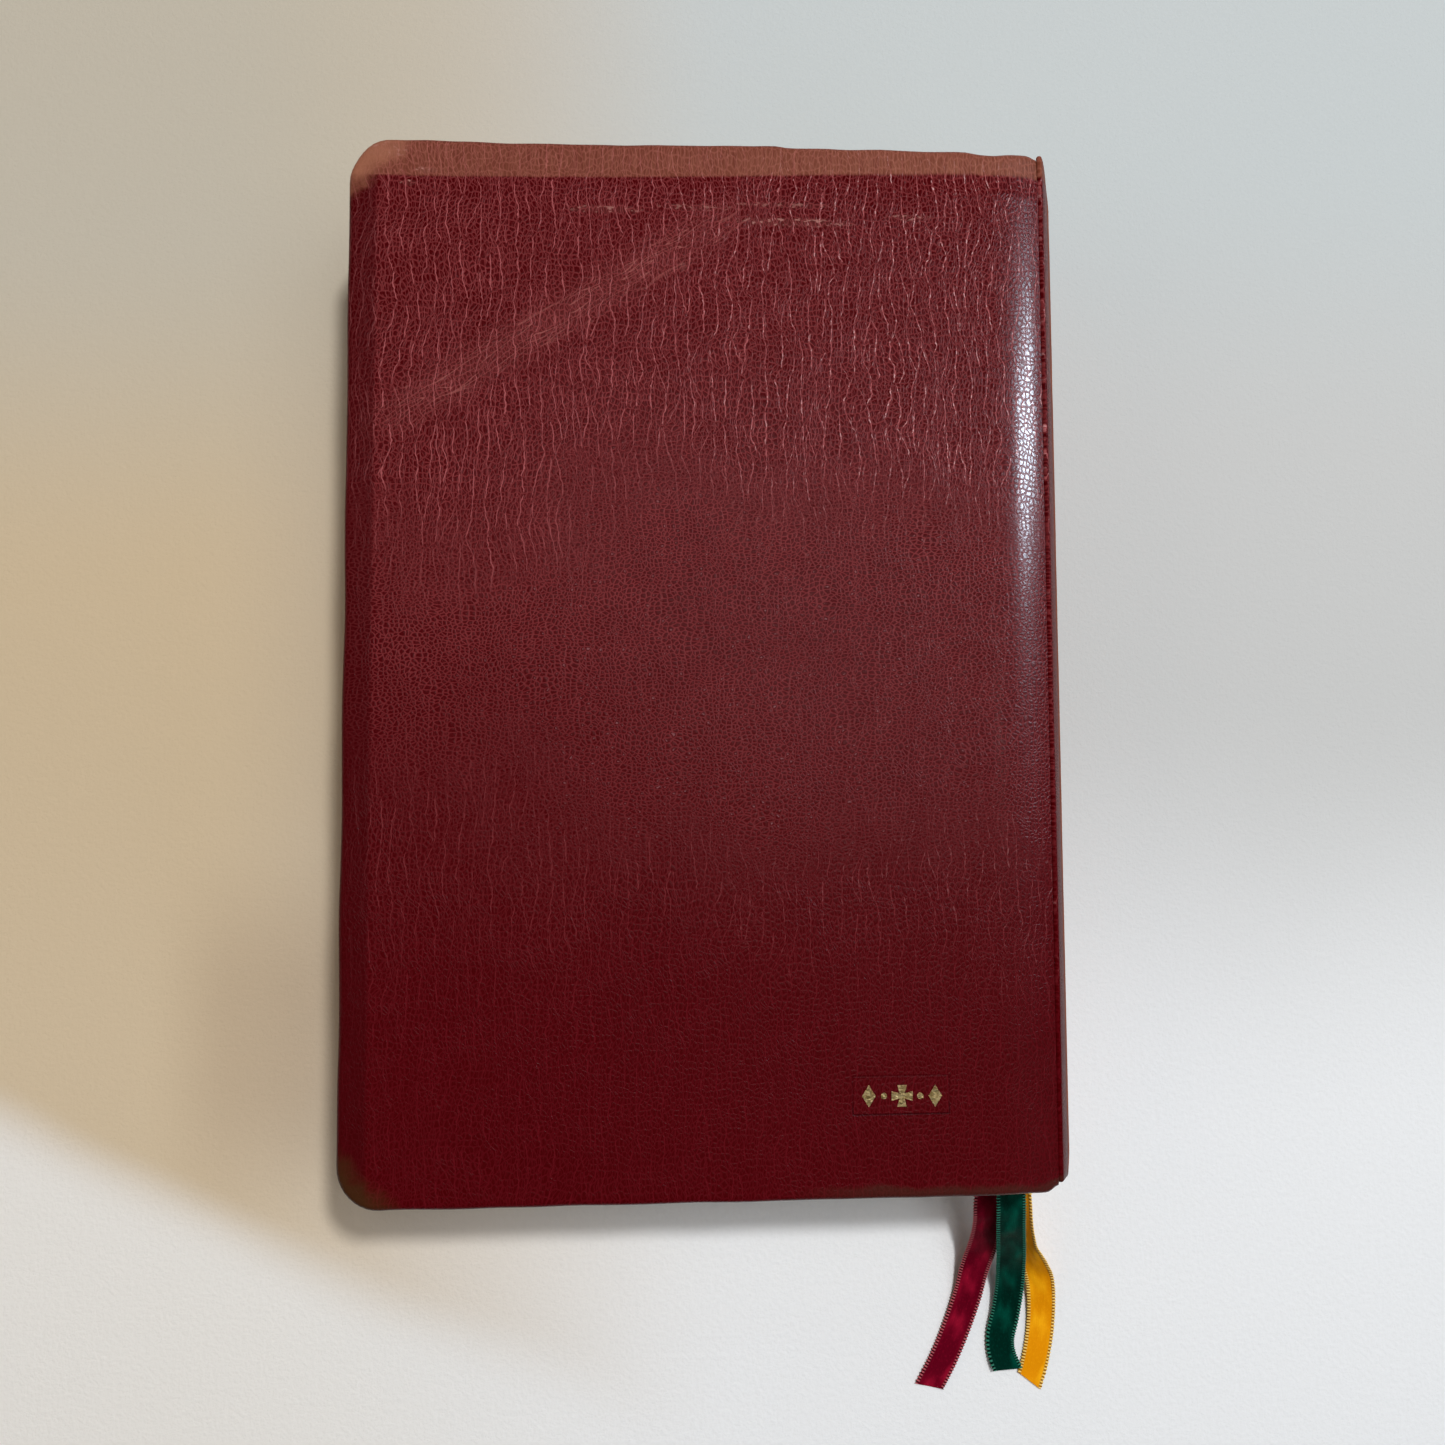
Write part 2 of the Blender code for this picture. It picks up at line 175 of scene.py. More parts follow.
class Value:
    """One value inside a finish. Sums, products and so on of values make the maths they stand for."""

    def __init__(self, finish, socket):
        self.finish, self.socket = finish, socket

    def _maths(self, operation, first, second):
        return self.finish.node("ShaderNodeMath", {"operation": operation}, {0: first, 1: second})

    def __add__(self, other):
        return self._maths("ADD", self, other)

    def __radd__(self, other):
        return self._maths("ADD", other, self)

    def __sub__(self, other):
        return self._maths("SUBTRACT", self, other)

    def __rsub__(self, other):
        return self._maths("SUBTRACT", other, self)

    def __mul__(self, other):
        return self._maths("MULTIPLY", self, other)

    def __rmul__(self, other):
        return self._maths("MULTIPLY", other, self)

    def __truediv__(self, other):
        return self._maths("DIVIDE", self, other)

    def absolute(self):
        return self._maths("ABSOLUTE", self, 0.0)

    def sine(self):
        return self._maths("SINE", self, 0.0)

    def most(self, other):
        return self._maths("MAXIMUM", self, other)

    def rise(self, low, high):
        """0 below low, 1 above high and smooth between them. Low may be the larger."""
        settings = {"interpolation_type": "SMOOTHSTEP"}
        if low < high:
            return self.finish.node("ShaderNodeMapRange", settings, {0: self, 1: low, 2: high})
        return 1.0 - self.finish.node("ShaderNodeMapRange", settings, {0: self, 1: high, 2: low})


class Finish:
    """A material and the few kinds of step that it is built up from."""

    def __init__(self, name, **constants):
        self.material = bpy.data.materials.new(name)
        self.material.use_nodes = True
        self.tree = self.material.node_tree
        self.shader = self.tree.nodes["Principled BSDF"]
        for socket, value in constants.items():
            self.shader.inputs[socket.replace("_", " ")].default_value = value

    def put(self, value, socket):
        if isinstance(value, Value):
            self.tree.links.new(value.socket, socket)
        elif hasattr(value, "__len__") and len(value) == 3 and socket.type == "RGBA":
            socket.default_value = (*value, 1.0)
        else:
            socket.default_value = value

    def node(self, kind, settings=None, inputs=None, out=0):
        made = self.tree.nodes.new(kind)
        for key, value in (settings or {}).items():
            setattr(made, key, value)
        for key, value in (inputs or {}).items():
            self.put(value, made.inputs[key])
        return Value(self, made.outputs[out])

    def mix(self, share, first, second, blend="MIX"):
        settings = {"data_type": "RGBA", "blend_type": blend}
        return self.node("ShaderNodeMix", settings, {0: share, 6: first, 7: second}, out=2)

    def vector(self, operation, first, second):
        return self.node("ShaderNodeVectorMath", {"operation": operation}, {0: first, 1: second})

    def split(self, vector):
        made = self.tree.nodes.new("ShaderNodeSeparateXYZ")
        self.put(vector, made.inputs[0])
        return [Value(self, output) for output in made.outputs]

    def join(self, x, y, z=0.0):
        return self.node("ShaderNodeCombineXYZ", None, {0: x, 1: y, 2: z})

    def attribute(self, name):
        return self.node("ShaderNodeAttribute", {"attribute_name": name}, None, out="Vector")

    def noise(self, vector, scale, detail=2.0, rough=0.5, out=0):
        inputs = {"Vector": vector, "Scale": scale, "Detail": detail, "Roughness": rough}
        return self.node("ShaderNodeTexNoise", {"noise_dimensions": "3D"}, inputs, out)

    def cracks(self, vector, wander=1.0):
        """Distance to the nearest wall of a net of cells, one unit across."""
        settings = {"voronoi_dimensions": "2D", "feature": "DISTANCE_TO_EDGE"}
        return self.node("ShaderNodeTexVoronoi", settings, {"Vector": vector, "Scale": 1.0, "Randomness": wander})

    def seams(self, vector, half_width, wander=1.0):
        """Only the walls of the net that run head to tail: 1 along the middle of each, 0 past its half width."""
        left = self.cracks(self.vector("SUBTRACT", vector, (half_width, 0.0, 0.0)), wander)
        right = self.cracks(self.vector("ADD", vector, (half_width, 0.0, 0.0)), wander)
        return ((left + right) * 0.5 - self.cracks(vector, wander)) * (1.0 / half_width)

    def bump(self, height, distance, strength=1.0, below=None):
        inputs = {"Height": height, "Distance": distance, "Strength": strength}
        if below is not None:
            inputs["Normal"] = below
        return self.node("ShaderNodeBump", None, inputs)

    def set(self, **values):
        for socket, value in values.items():
            self.put(value, self.shader.inputs[socket.replace("_", " ")])


def millimetres(finish, source):
    made = finish.tree.nodes.new("ShaderNodeVectorMath")
    made.operation = "SCALE"
    finish.put(source, made.inputs[0])
    made.inputs["Scale"].default_value = 1000.0
    return Value(finish, made.outputs[0])


# Each scuff on the leather near the head: x, y, half length, half width and strength.
SCUFFS = (
    (-22.8, 92.3, 7.5, 0.8, 0.5), (-4.0, 93.2, 8.0, 0.7, 0.35), (15.0, 90.6, 12.0, 0.9, 0.6),
    (14.0, 94.2, 10.0, 0.6, 0.35), (39.5, 92.3, 5.0, 0.6, 0.45), (-7.1, 80.8, 0.7, 0.9, 0.9),
    (-58.5, 99.3, 2.2, 0.7, 0.8), (-62.0, 96.6, 1.6, 0.6, 0.7), (-66.0, 103.0, 4.0, 1.4, 0.4),
)
# The pale bending marks: the middle of their band and the direction that it runs in.
BEND_MIDDLE = (-31.0, 70.6)
BEND_LINE = (0.847, 0.531)
# The pressed frame round the ornament.
FRAME_MIDDLE = (35.3, -85.0)
FRAME_HALF = (9.6, 3.7)


def leather_finish(name="burgundy_leather", gloss=0.11):
    """Boarded goatskin: long wavy creases over a fine net, rubbed brown along the head edge."""
    finish = Finish(name, Specular_IOR_Level=gloss, Coat_Roughness=0.17)
    flat = millimetres(finish, finish.attribute("grain"))
    x, y, _ = finish.split(flat)
    slow = finish.vector("SUBTRACT", finish.noise(flat, 0.06, 2.0, out="Color"), (0.5, 0.5, 0.5))
    quick = finish.vector("SUBTRACT", finish.noise(flat, 0.45, 2.0, out="Color"), (0.5, 0.5, 0.5))
    tiny = finish.vector("SUBTRACT", finish.noise(flat, 2.2, 1.0, out="Color"), (0.5, 0.5, 0.5))
    bent = finish.vector("ADD", flat, finish.vector("MULTIPLY", slow, (6.0, 5.0, 0)))
    bent = finish.vector("ADD", bent, finish.vector("MULTIPLY", quick, (1.0, 0.5, 0)))
    bent = finish.vector("ADD", bent, finish.vector("MULTIPLY", tiny, (0.22, 0.22, 0)))

    tall = finish.cracks(finish.vector("MULTIPLY", bent, (1.22, 0.84, 1)), 0.9)
    wide = finish.cracks(finish.vector("MULTIPLY", bent, (1.08, 1.25, 1)), 0.9)
    long = finish.seams(finish.vector("MULTIPLY", bent, (0.74, 0.25, 1)), 0.10, 0.95)
    shifted = finish.vector("ADD", bent, (31.0, 17.0, 0))
    longer = finish.seams(finish.vector("MULTIPLY", shifted, (0.40, 0.12, 1)), 0.068)

    drift = y + (finish.noise(flat, 0.018, 3.0) - 0.5) * 110.0
    pebbled = drift.rise(-48, -12) * drift.rise(50, 14)
    creased = 1.0 - pebbled * 0.7
    fine = finish.seams(finish.vector("MULTIPLY", bent, (1.3, 0.55, 1)), 0.16)
    upright_net = (tall.rise(0.17, 0.05) * 0.85).most(fine.rise(0.15, 0.75) * 0.7)
    net = upright_net * (1.0 - pebbled) + wide.rise(0.21, 0.06) * pebbled
    dome_light = wide.rise(0.22, 0.4)
    patchy = finish.noise(flat, 0.12, 3.0).rise(0.3, 0.7)
    broken = finish.noise(flat, 0.3, 2.0).rise(0.3, 0.5)
    short_creases = long.rise(0.2, 0.8) * (0.32 + 0.5 * patchy)
    long_creases = longer.rise(0.15, 0.7) * (0.45 + 0.55 * broken)
    creases = short_creases.most(long_creases) * creased
    lines = (net * (0.58 + 0.14 * patchy)).most(creases)

    # Broad changes of tone at random, and painted shade: darker at the fore margin and towards the tail.
    tone = finish.noise(flat, 0.02, 3.0)
    # Painted light and shade: the lines and creases lighter towards the head and darker towards the tail.
    upper = (y + (tone - 0.5) * 60).rise(-75, 50)
    cell = finish.mix(tone, (0.047, 0.0002, 0.0010), (0.062, 0.0004, 0.0016))
    cell = finish.mix(finish.noise(flat, 1.4, 2.0) * 0.25, cell, (0.10, 0.001, 0.003))
    line = finish.mix(upper, (0.105, 0.0035, 0.007), (0.22, 0.034, 0.037))
    line = finish.mix(creases * upper * 0.75, line, (0.36, 0.095, 0.10))
    # Painted highlights: glints on the creases towards the head and the spine.
    glints = finish.noise(flat, 1.1, 2.0).rise(0.53, 0.61) * creases * upper * x.rise(-40, 50)
    line = finish.mix(glints * 0.85, line, (0.62, 0.36, 0.36))
    colour = finish.mix(lines, cell, line)
    # Painted highlights on the tops of the cells in the pebbled middle.
    painted_pebble_highlights = finish.noise(flat, 1.25, 1.0).rise(0.60, 0.70) * dome_light * pebbled * x.rise(-62, -30)
    colour = finish.mix(painted_pebble_highlights * 0.32, colour, (0.46, 0.20, 0.22))
    around = x.rise(X_END + 4.0, X_END + 8.0)
    colour = finish.mix(around * (0.55 + 0.3 * patchy), colour, (0.36, 0.10, 0.04))
    # Painted shade along the fore margin.
    margin = x.rise(X_FORE + FORE_MARGIN + 0.5, X_FORE + FORE_MARGIN - 0.6)
    colour = finish.mix(margin * 0.6, colour, (0.045, 0.0010, 0.002))

    # The head edge and the corners have been handled until the dye has gone brown.
    upright = finish.vector("MULTIPLY", flat, (2.2, 0.25, 1))
    streaks = finish.noise(upright, 1.0, 3.0)
    edge_wander = (finish.noise(flat, 0.25, 2.0) - 0.5) * 0.8
    narrowing = x.rise(-70, 66) * 3.6
    head = (y - narrowing + edge_wander * 0.5).rise(Y_HEAD - HEAD_MARGIN - 0.25, Y_HEAD - HEAD_MARGIN + 0.35)
    tan = finish.mix(streaks, (0.13, 0.028, 0.015), (0.29, 0.105, 0.062))
    tan = finish.mix(long.rise(0.3, 0.8) * 0.5, tan, (0.42, 0.16, 0.11))
    tan = finish.mix(net * 0.3, tan, (0.42, 0.17, 0.12))
    colour = finish.mix(head * (0.6 + 0.35 * streaks) * (0.72 + 0.28 * x.rise(-30, 50)), colour, tan)
    rubbed_corner = (x + (finish.noise(flat, 0.2, 3.0) - 0.5) * 14.0 - y).rise(-164, -172)
    colour = finish.mix(rubbed_corner * 0.7, colour, (0.33, 0.13, 0.075))
    dark_corner = (x + y + (finish.noise(flat, 0.2, 3.0) - 0.5) * 10.0).rise(-164, -173)
    colour = finish.mix(dark_corner * 0.8, colour, (0.045, 0.02, 0.006))
    # Painted shade: a dark brown band along the rounded tail edge towards the spine.
    tail = (y + (finish.noise(flat, 0.15, 3.0) - 0.5) * 3.0).rise(-102.2, -103.6) * x.rise(10, 34)
    colour = finish.mix(tail * (0.3 + 0.55 * streaks), colour, (0.05, 0.018, 0.012))

    # Scuffs near the head and pale bending marks that run across the corner.
    blots = finish.noise(finish.vector("MULTIPLY", flat, (0.8, 1.3, 1)), 1.0, 2.0).rise(0.55, 0.64)
    scuff = None
    for sx, sy, rx, ry, force in SCUFFS:
        away = ((x - sx) / rx) * ((x - sx) / rx) + ((y - sy) / ry) * ((y - sy) / ry)
        spot = away.rise(1.5, 0.3) * force
        scuff = spot if scuff is None else scuff.most(spot)
    scuff = scuff * (0.08 + 0.92 * blots)
    colour = finish.mix(scuff, colour, (0.42, 0.20, 0.17))
    beside, above = x - BEND_MIDDLE[0], y - BEND_MIDDLE[1]
    across = beside * -BEND_LINE[1] + above * BEND_LINE[0]
    along = beside * BEND_LINE[0] + above * BEND_LINE[1]
    wander = (finish.noise(flat, 0.11, 3.0) - 0.5) * 5.0
    bands = finish.noise(finish.join((along + wander) * 0.02, (across + wander * 0.5) * 0.33, 3.1), 1.0, 2.0)
    strands = (bands * 34.0).sine().absolute().rise(0.30, 0.04)
    bending = strands * across.absolute().rise(6.0, 1.0) * along.absolute().rise(50, 30)
    haze = across.absolute().rise(7.0, 0.0) * along.absolute().rise(52, 25) * 0.08
    colour = finish.mix((bending * 0.62).most(haze), colour, (0.33, 0.10, 0.09))

    # Raised cells between sunken lines, then the pressed frame that goes round the ornament.
    dome = tall.rise(0.0, 0.42) * (1.0 - pebbled) + wide.rise(0.0, 0.42) * pebbled
    height = (1.0 - lines) * 0.5 + dome * 0.4 + finish.noise(flat, 2.4, 1.0) * 0.08
    aside = (x - FRAME_MIDDLE[0]).absolute()
    off = (y - FRAME_MIDDLE[1]).absolute()
    frame_x = (aside - FRAME_HALF[0]).absolute()
    frame_y = (off - FRAME_HALF[1]).absolute()
    inside_x = aside.rise(FRAME_HALF[0] + 0.2, FRAME_HALF[0] - 0.1)
    inside_y = off.rise(FRAME_HALF[1] + 0.2, FRAME_HALF[1] - 0.1)
    pressed = (frame_y.rise(0.26, 0.08) * inside_x).most(frame_x.rise(0.26, 0.08) * inside_y)
    low_line = y.rise(FRAME_MIDDLE[1] - 1.0, FRAME_MIDDLE[1] - 2.5)
    colour = finish.mix(pressed * (0.25 + 0.4 * low_line), colour, (0.02, 0.001, 0.002))
    bumped = finish.bump(height, 0.00005, 1.0)
    bumped = finish.bump(1.0 - pressed * 0.6, 0.00012, 0.6, bumped)
    polished = x.rise(54, 62)
    rough = 0.25 + 0.05 * finish.noise(flat, 0.12, 3.0) + 0.05 * lines + 0.2 * head + 0.35 * around
    beads = dome.rise(0.2, 0.7) * (0.4 + 0.6 * finish.noise(flat, 2.0, 1.0).rise(0.4, 0.6))
    coated = polished * x.rise(X_END + 0.6, X_END - 0.4) * (0.08 + 0.92 * beads)
    finish.set(Base_Color=colour, Roughness=rough, Normal=bumped, Coat_Weight=coated)
    return finish.material


def ribbon_finish(name, deep, painted_sheen, bead):
    """Satin: fine threads along the ribbon, a firm edge, soft patches of painted sheen, and edge loops painted lighter
    with painted shade between them.
    """
    finish = Finish(name, Specular_IOR_Level=0.03)
    flat = millimetres(finish, finish.attribute("weave"))
    across, along, _ = finish.split(flat)
    threads = finish.noise(finish.vector("MULTIPLY", flat, (9.0, 0.35, 1)), 1.0, 2.0)
    weft = (along * (2 * math.pi / PICOT_PITCH)).sine() * 0.5 + 0.5
    edge = across.absolute().rise(RIBBON_WIDTH / 2 - 0.75, RIBBON_WIDTH / 2 - 0.45)
    patches = finish.noise(finish.vector("MULTIPLY", flat, (0.22, 0.10, 1)), 1.0, 2.0)
    specks = finish.noise(finish.vector("MULTIPLY", flat, (2.4, 1.5, 1)), 1.0, 2.0)
    # Painted sheen: lighter patches and specks over the ribbon's own colour.
    painted_shine = patches.rise(0.42, 0.66) * 0.75 + specks.rise(0.5, 0.75) * 0.25
    colour = finish.mix(painted_shine, deep, painted_sheen)
    colour = finish.mix(threads.rise(0.35, 0.7) * 0.25, colour, deep)
    # Painted shade in the gaps between the edge loops and painted highlights on the loops.
    colour = finish.mix(edge * (1.0 - weft.rise(0.35, 0.65)) * 0.9, colour, [part * 0.35 for part in deep])
    colour = finish.mix(edge * weft.rise(0.45, 0.75) * 0.9, colour, bead)
    height = threads * 0.5 + weft * edge * 1.6 + edge * 0.8 + specks * 0.5
    bumped = finish.bump(height, 0.00008, 0.9)
    bumped = finish.bump(patches, 0.0012, 0.5, bumped)
    finish.set(Base_Color=colour, Roughness=0.38 + 0.2 * edge + 0.08 * threads, Normal=bumped)
    return finish.material


def floor_finish():
    # The table's colour carries painted light and shade and painted shadows of the book over a fine pale grain.
    finish = Finish("pale_table", Specular_IOR_Level=0.25)
    place = millimetres(finish, finish.node("ShaderNodeTexCoord", out="Object"))
    x, y, _ = finish.split(place)
    speck = finish.noise(place, 0.9, 4.0, 0.65)
    cloud = finish.noise(place, 0.01, 2.0)
    colour = finish.mix(speck, (0.79, 0.81, 0.825), (0.86, 0.885, 0.91))
    # Painted shade: darker towards the top and bluish grey at the top right.
    upper = (y + cloud * 20).rise(-95, 15)
    colour = finish.mix(upper * 0.95, colour, (0.55, 0.56, 0.555))
    colour = finish.mix(y.rise(50, 130) * x.rise(-70, 20) * 0.8, colour, (0.54, 0.59, 0.60))
    # Painted shadow: warm and darker on the left, above a slanting line.
    left = (x + cloud * 20).rise(20, -108)
    in_painted_shadow = (y + x * 0.48 + cloud * 16).rise(-172, -152)
    colour = finish.mix(left * in_painted_shadow * 0.9, colour, (0.58, 0.455, 0.285))
    # Painted shadow, darker still, beside the fore-edge towards the tail.
    painted_shadow_near_book = (x + 97.0).absolute().rise(26, 6) * (y + 78.0).absolute().rise(46, 8)
    colour = finish.mix(painted_shadow_near_book * in_painted_shadow * 0.5, colour, (0.42, 0.32, 0.22))
    # Painted shade: greyer at the top left.
    colour = finish.mix(y.rise(20, 105) * left * 0.85, colour, (0.50, 0.475, 0.405))
    # Painted light: lighter on the left below the slanting line.
    painted_light_low_left = (1.0 - in_painted_shadow) * left
    colour = finish.mix(painted_light_low_left * 0.6, colour, (0.76, 0.73, 0.66))
    finish.set(Base_Color=colour, Roughness=0.72 + 0.1 * speck, Normal=finish.bump(speck, 0.0005, 0.4))
    return finish.material


def paper_finish(name, light, dark, gilt=False):
    """Thin leaves in a stack: fine lines between the leaves on the edges, plain paper on the faces."""
    finish = Finish(name, Specular_IOR_Level=0.35)
    place = millimetres(finish, finish.node("ShaderNodeTexCoord", out="Object"))
    x, y, z = finish.split(place)
    level = finish.join(x * 0.02, y * 0.02, z * 9.0)
    leaves = finish.noise(level, 1.0, 3.0, 0.6)
    mottle = finish.noise(place, 0.3, 3.0)
    normal = finish.split(finish.node("ShaderNodeNewGeometry", out="Normal"))
    edge = normal[2].absolute().rise(0.75, 0.5)
    colour = finish.mix(mottle, light, dark)
    colour = finish.mix(edge * leaves.rise(0.35, 0.65) * 0.5, colour, dark)
    rough = PAPER_ROUGHNESS
    if gilt:
        colour = finish.mix(edge, colour, finish.mix(leaves, (0.62, 0.38, 0.10), (0.93, 0.68, 0.28)))
        rough = PAPER_ROUGHNESS - edge * (0.42 - 0.15 * leaves)
        finish.set(Metallic=edge * 0.85)
    finish.set(Base_Color=colour, Roughness=rough, Normal=finish.bump(leaves * edge + mottle * 0.1, 0.00012, 0.7))
    return finish.material


def fibre_finish(name, light, dark, weave=0.0):
    """Card, gauze or thread: soft fibres, and a woven pattern where one is asked for."""
    finish = Finish(name, Specular_IOR_Level=0.3)
    place = millimetres(finish, finish.node("ShaderNodeTexCoord", out="Object"))
    _, y, z = finish.split(place)
    fibres = finish.noise(finish.vector("MULTIPLY", place, (1.0, 2.5, 2.5)), 1.3, 4.0, 0.6)
    height = fibres
    if weave:
        turn = 2 * math.pi / weave
        height = ((y * turn).sine() * (z * turn).sine()).absolute() * 0.7 + fibres * 0.3
    colour = finish.mix(height, dark, light)
    finish.set(Base_Color=colour, Roughness=FIBRE_ROUGHNESS, Normal=finish.bump(height, 0.0002, 0.7))
    return finish.material


def silk_finish(name, first, second, pitch):
    """Headband silk: narrow stripes of two colours wound round the bead."""
    finish = Finish(name, Specular_IOR_Level=0.5, Sheen_Weight=0.2)
    place = millimetres(finish, finish.node("ShaderNodeTexCoord", out="Object"))
    _, _, z = finish.split(place)
    turns = (z * (2 * math.pi / pitch)).sine()
    threads = (z * (2 * math.pi / 0.22)).sine() * 0.5 + 0.5
    colour = finish.mix(turns.rise(-0.15, 0.15), first, second)
    colour = finish.mix(threads * 0.3, colour, (0.02, 0.005, 0.005))
    height = threads + turns.absolute().rise(0.0, 0.5) * 0.6
    finish.set(Base_Color=colour, Roughness=0.5 + 0.1 * threads, Normal=finish.bump(height, 0.0001, 0.8))
    return finish.material


def gold_finish():
    """Gold foil pressed into the grain, thin enough that the leather shows in pinholes."""
    finish = Finish("gold_foil", Metallic=1.0)
    place = millimetres(finish, finish.node("ShaderNodeTexCoord", out="Object"))
    rub = finish.noise(place, 1.8, 3.0)
    colour = finish.mix(rub.rise(0.3, 0.7), (0.55, 0.36, 0.12), (0.95, 0.73, 0.36))
    colour = finish.mix(finish.noise(place, 4.5, 2.0).rise(0.62, 0.70) * 0.8, colour, (0.10, 0.02, 0.012))
    bumped = finish.bump(finish.noise(place, 2.2, 3.0), 0.00016, 0.7)
    finish.set(Base_Color=colour, Roughness=0.26 + 0.22 * rub, Normal=bumped)
    return finish.material


LEATHER = leather_finish()
SPINE_LEATHER_FINISH = leather_finish("burgundy_spine", gloss=0.03)


# Meshes


def start_clean():
    if bpy.context.object and bpy.context.object.mode != "OBJECT":
        bpy.ops.object.mode_set(mode="OBJECT")
    bpy.ops.object.select_all(action="DESELECT")


def add_block(name, low, high):
    """A box between two corners, given in millimetres."""
    start_clean()
    low, high = Vector(low) * MM, Vector(high) * MM
    bpy.ops.mesh.primitive_cube_add(size=1, location=(low + high) / 2, scale=high - low)
    made = bpy.context.object
    made.name = name
    made.data.name = name
    bpy.ops.object.transform_apply(location=True, rotation=True, scale=True)
    return made


def pick(kind, test):
    """In edit mode, selects the edges or faces of the active mesh that pass the test."""
    bpy.ops.mesh.select_all(action="DESELECT")
    bpy.ops.mesh.select_mode(type=kind)
    mesh = bmesh.from_edit_mesh(bpy.context.object.data)
    for item in mesh.edges if kind == "EDGE" else mesh.faces:
        if test(item):
            item.select_set(True)
    mesh.select_flush_mode()
    bmesh.update_edit_mesh(bpy.context.object.data)


def cut_across(places, axis):
    """Cuts the whole mesh at each place along an axis, in millimetres."""
    normal = Vector((0, 0, 0))
    normal[axis] = 1
    for place in places:
        point = Vector((0, 0, 0))
        point[axis] = place * MM
        bpy.ops.mesh.select_all(action="SELECT")
        bpy.ops.mesh.bisect(plane_co=point, plane_no=normal)


def soften(obj, angle):
    start_clean()
    obj.select_set(True)
    bpy.context.view_layer.objects.active = obj
    bpy.ops.object.shade_smooth_by_angle(angle=math.radians(angle))


def paint(obj, *materials):
    obj.data.materials.clear()
    for material in materials:
        obj.data.materials.append(material)


def steps(low, high, step):
    count = max(1, round((high - low) / step))
    return [low + (high - low) * i / count for i in range(1, count)]


def write_vectors(obj, name, values):
    attribute = obj.data.attributes.new(name, "FLOAT_VECTOR", "POINT")
    attribute.data.foreach_set("vector", np.array(values, np.float32).ravel())


def edge_between(edge, axis, value, margin=0.02):
    return all(abs(v.co[axis] / MM - value) < margin for v in edge.verts)


